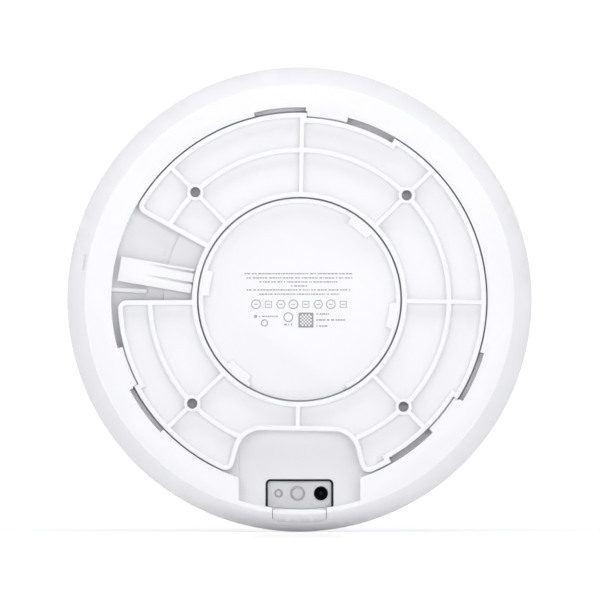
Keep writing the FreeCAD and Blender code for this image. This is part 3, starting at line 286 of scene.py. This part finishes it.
def rounded_mesh(node, radius):
    """The node's own solid with clean flat faces and every hard edge rounded."""
    mesh = bpy.data.meshes.new(f"{node}_rounded")
    work = bmesh.new()
    work.from_mesh(NODES[node].data)
    bmesh.ops.remove_doubles(work, verts=work.verts, dist=WELD_DISTANCE)
    bmesh.ops.dissolve_limit(work, angle_limit=FLAT_ANGLE, verts=work.verts, edges=work.edges)
    work.normal_update()
    hard = [edge for edge in work.edges
            if len(edge.link_faces) == 2 and edge.calc_face_angle(0.0) > HARD_ANGLE]
    bmesh.ops.bevel(work, geom=hard, offset=radius, segments=BEVEL_STEPS, profile=0.5,
                    affect="EDGES", clamp_overlap=False, harden_normals=False)
    work.to_mesh(mesh)
    work.free()
    mesh.shade_smooth()
    mesh.set_sharp_from_angle(angle=SHARP_ANGLE)
    return mesh


def rounded_piece(node, radius):
    slot = NODE_SLOTS[node]
    mesh = rounded_mesh(node, radius)
    return new_piece(f"{node}_shell", mesh, MATERIALS[slot], body_of_node(node), (node,))


# ---------------------------------------------------------------- pieces

def print_bar(work, x_low, x_high, z_low, z_high):
    """One printed bar on the dish floor, a closed sliver that stands just proud of it."""
    points = [work.verts.new((x * MM, y * MM, z * MM)) for y in (PRINT_BACK, PRINT_FACE)
              for x, z in ((x_low, z_low), (x_high, z_low), (x_high, z_high), (x_low, z_high))]
    faces = ((0, 1, 2, 3), (7, 6, 5, 4), (0, 4, 5, 1), (1, 5, 6, 2), (2, 6, 7, 3), (3, 7, 4, 0))
    for corners in faces:
        work.faces.new([points[corner] for corner in corners])


def print_loop(work, x, z, outer, inner, sides, turn=0.0):
    """A printed ring, or a polygon outline when it has few sides."""
    angles = [turn + math.tau * step / sides for step in range(sides)]
    rims = ((outer, PRINT_FACE), (inner, PRINT_FACE), (inner, PRINT_BACK), (outer, PRINT_BACK))
    loops = []
    for radius, depth in rims:
        loops.append([work.verts.new(((x + radius * math.cos(angle)) * MM, depth * MM,
                                      (z + radius * math.sin(angle)) * MM)) for angle in angles])
    for first, second in zip(loops, loops[1:] + loops[:1]):
        for step in range(sides):
            after = (step + 1) % sides
            work.faces.new((first[step], second[step], second[after], first[after]))


def print_row(work, dice, z, x_low, x_high, height):
    """A row of dashes of uneven length. They stand for small print and spell nothing."""
    x = x_low
    while x < x_high - 0.4:
        length = min(dice.uniform(0.45, 1.5), x_high - x)
        print_bar(work, x, x + length, z - height / 2, z + height / 2)
        x += length + dice.choice((0.28, 0.28, 0.28, 0.75))


def finished_mesh(name, work):
    mesh = bpy.data.meshes.new(name)
    work.to_mesh(mesh)
    work.free()
    return mesh


def build_print():
    """Generic print in the central dish: dashes, plain outlines and a plain chequered square."""
    dice = random.Random(41)
    fine = bmesh.new()
    for z, x_low, x_high in TEXT_ROWS:
        print_row(fine, dice, z, x_low, x_high, 0.62)
    for z, x_high in SIDE_ROWS:
        print_row(fine, dice, z, SIDE_ROWS_LEFT, x_high, 0.7)
    print_row(fine, dice, -8.0, -19.2, -9.5, 0.6)
    print_row(fine, dice, -11.9, -7.2, -3.4, 0.8)
    for index in range(MARK_COUNT):
        x = MARK_LEFT + index * MARK_PITCH
        sides = MARK_SIDES[index % len(MARK_SIDES)]
        turn = math.pi / 4 if sides == 4 else 0.0
        print_loop(fine, x, MARK_HEIGHT, 2.3, 1.85, sides, turn)
        print_bar(fine, x - 0.9, x + 0.9, MARK_HEIGHT - 0.2, MARK_HEIGHT + 0.2)
    for x, z, outer, inner, sides in LOOPS:
        print_loop(fine, x, z, outer, inner, sides)
    pale_ink = printed_ink("pale_ink", (0.30, 0.30, 0.32))
    new_piece("small_print", finished_mesh("small_print", fine), pale_ink, "access_point")

    square = bmesh.new()
    cell = SQUARE_SIDE / SQUARE_CELLS
    border = (0, SQUARE_CELLS - 1)
    for row in range(SQUARE_CELLS):
        for column in range(SQUARE_CELLS):
            if (row + column) % 2 == 0 or row in border or column in border:
                x = SQUARE_CORNER[0] + column * cell
                z = SQUARE_CORNER[1] + row * cell
                print_bar(square, x, x + cell * CELL_FILL, z, z + cell * CELL_FILL)
    grey_ink = printed_ink("grey_ink", (0.26, 0.26, 0.28))
    new_piece("print_square", finished_mesh("print_square", square), grey_ink, "access_point")


def dress_cad_nodes():
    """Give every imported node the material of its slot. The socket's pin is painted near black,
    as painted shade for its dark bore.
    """
    for name, node in NODES.items():
        node.data.materials.clear()
        node.data.materials.append(MATERIALS[NODE_SLOTS[name]])
    # Painted shade: the pin metal is near black so the socket reads as a dark hole.
    painted_shade_metal = sheet_metal("pin_painted_shade", (0.03, 0.03, 0.032), (0.01, 0.01, 0.011), 0.6)
    pin = NODES["power_socket_pin"].data
    pin.materials.clear()
    pin.materials.append(painted_shade_metal)


SHELL_ROUNDING = {
    "mounting_plate": 0.28 * MM,
    "rear_housing": 0.25 * MM,
    "release_tongue": 0.3 * MM,
    "port_cover": 0.1 * MM,
    "io_panel": 0.15 * MM,
    "reset_button": 0.15 * MM,
    "function_button": 0.2 * MM,
}


def build_shells():
    for node, radius in SHELL_ROUNDING.items():
        rounded_piece(node, radius)


# ---------------------------------------------------------------- stage

# Place from -Y (0) to +Y (1), and the brightness there.
WORLD_STOPS = ((0.12, 0.17), (0.40, 1.0), (0.62, 1.0), (0.78, 0.70), (0.985, 0.58), (0.992, 1.0))
WORLD_TINT = (0.99, 0.992, 1.0)
WORLD_STRENGTH = 1.12
FRONT_POWER = 5.0
TOP_POWER = 23.0
LOW_POWER = 28.0
FLOOR_SHEEN = 0.16
FLOOR_HALF = 6.0

# Light given off by the floor against the distance from the unit's centre, in metres: far off, to
# melt into the background, and close round the foot, to fill the underside.
FAR_LIFT = {"From Min": 0.25, "From Max": 1.3, "To Min": 0.0, "To Max": 0.2}
FOOT_LIFT = {"From Min": 0.112, "From Max": 0.17, "To Min": 0.11, "To Max": 0.0}

CAMERA_DISTANCE = 12.0
FRAME_WIDTH = 283.78 * MM
AIM_X = 0.24 * MM
AIM_Z = -0.26 * MM


def floor_material():
    """Glossy white floor that gives off a little light of its own."""
    material = bpy.data.materials.new("floor_gloss")
    material.use_nodes = True
    tree = material.node_tree
    tree.nodes.remove(tree.nodes["Principled BSDF"])
    matt = tree.nodes.new("ShaderNodeBsdfDiffuse")
    matt.inputs["Color"].default_value = (0.94, 0.94, 0.94, 1.0)
    sheen = tree.nodes.new("ShaderNodeBsdfGlossy")
    sheen.inputs["Color"].default_value = (1.0, 1.0, 1.0, 1.0)
    sheen.inputs["Roughness"].default_value = 0.02
    blend = tree.nodes.new("ShaderNodeMixShader")
    blend.inputs["Fac"].default_value = FLOOR_SHEEN
    tree.links.new(matt.outputs["BSDF"], blend.inputs[1])
    tree.links.new(sheen.outputs["BSDF"], blend.inputs[2])

    place = tree.nodes.new("ShaderNodeNewGeometry").outputs["Position"]
    reach = tree.nodes.new("ShaderNodeVectorMath")
    reach.operation = "LENGTH"
    tree.links.new(place, reach.inputs[0])
    total = tree.nodes.new("ShaderNodeMath")
    total.operation = "ADD"
    for target, limits in zip(total.inputs, (FAR_LIFT, FOOT_LIFT)):
        fade = tree.nodes.new("ShaderNodeMapRange")
        for name, value in limits.items():
            fade.inputs[name].default_value = value
        tree.links.new(reach.outputs["Value"], fade.inputs["Value"])
        tree.links.new(fade.outputs["Result"], target)
    lift = tree.nodes.new("ShaderNodeEmission")
    tree.links.new(total.outputs["Value"], lift.inputs["Strength"])

    both = tree.nodes.new("ShaderNodeAddShader")
    tree.links.new(blend.outputs["Shader"], both.inputs[0])
    tree.links.new(lift.outputs["Emission"], both.inputs[1])
    tree.links.new(both.outputs["Shader"], tree.nodes["Material Output"].inputs["Surface"])
    return material


def build_floor():
    low = CAD_BOX[0][2]
    half = FLOOR_HALF
    corners = [(-half, -half, low), (half, -half, low), (half, half, low), (-half, half, low)]
    mesh = bpy.data.meshes.new("floor")
    mesh.from_pydata(corners, [], [(0, 1, 2, 3)])
    mesh.materials.append(floor_material())
    floor = bpy.data.objects.new("floor", mesh)
    bpy.context.scene.collection.objects.link(floor)


def area_light(name, place, target, size, power):
    data = bpy.data.lights.new(name, "AREA")
    data.shape = "RECTANGLE"
    data.size, data.size_y = size
    data.energy = power
    light = bpy.data.objects.new(name, data)
    light.location = place
    light.rotation_euler = (Vector(target) - Vector(place)).to_track_quat("-Z", "Y").to_euler()
    bpy.context.scene.collection.objects.link(light)


def build_world():
    """Studio by direction: dim in front, bright round the sides, white straight behind."""
    world = bpy.data.worlds.new("studio")
    world.use_nodes = True
    tree = world.node_tree
    background = tree.nodes["Background"]
    direction = tree.nodes.new("ShaderNodeTexCoord").outputs["Generated"]
    split = tree.nodes.new("ShaderNodeSeparateXYZ")
    tree.links.new(direction, split.inputs["Vector"])
    place = tree.nodes.new("ShaderNodeMapRange")
    place.inputs["From Min"].default_value = -1.0
    tree.links.new(split.outputs["Y"], place.inputs["Value"])
    ramp = tree.nodes.new("ShaderNodeValToRGB")
    tree.links.new(place.outputs["Result"], ramp.inputs["Fac"])
    stops = ramp.color_ramp.elements
    stops[0].position, stops[1].position = WORLD_STOPS[0][0], WORLD_STOPS[-1][0]
    for position, _ in WORLD_STOPS[1:-1]:
        stops.new(position)
    for stop, (_, grey) in zip(stops, WORLD_STOPS):
        stop.color = (*(grey * part for part in WORLD_TINT), 1.0)
    tree.links.new(ramp.outputs["Color"], background.inputs["Color"])
    background.inputs["Strength"].default_value = WORLD_STRENGTH
    bpy.context.scene.world = world


def build_lights():
    build_world()
    area_light("front_softbox", (0.0, -3.5, 1.3), (0, 0, 0), (3.6, 2.2), FRONT_POWER)
    area_light("top_softbox", (0.0, -1.5, 2.3), (0, -0.4, -0.11), (2.6, 1.2), TOP_POWER)
    area_light("low_fill", (0.0, -3.0, 0.3), (0, 0, -0.05), (2.6, 0.7), LOW_POWER)
    bpy.context.scene.view_settings.view_transform = "Standard"


def build_camera():
    """A very long lens straight behind the unit, so that nothing converges."""
    data = bpy.data.cameras.new("camera")
    data.sensor_width = 36.0
    data.lens = data.sensor_width * CAMERA_DISTANCE / FRAME_WIDTH
    data.clip_end = 50.0
    camera = bpy.data.objects.new("camera", data)
    camera.location = (AIM_X, -CAMERA_DISTANCE, AIM_Z)
    camera.rotation_euler = (math.radians(90), 0, 0)
    bpy.context.scene.collection.objects.link(camera)
    bpy.context.scene.camera = camera


dress_cad_nodes()
build_shells()
build_print()
build_floor()
build_lights()
build_camera()
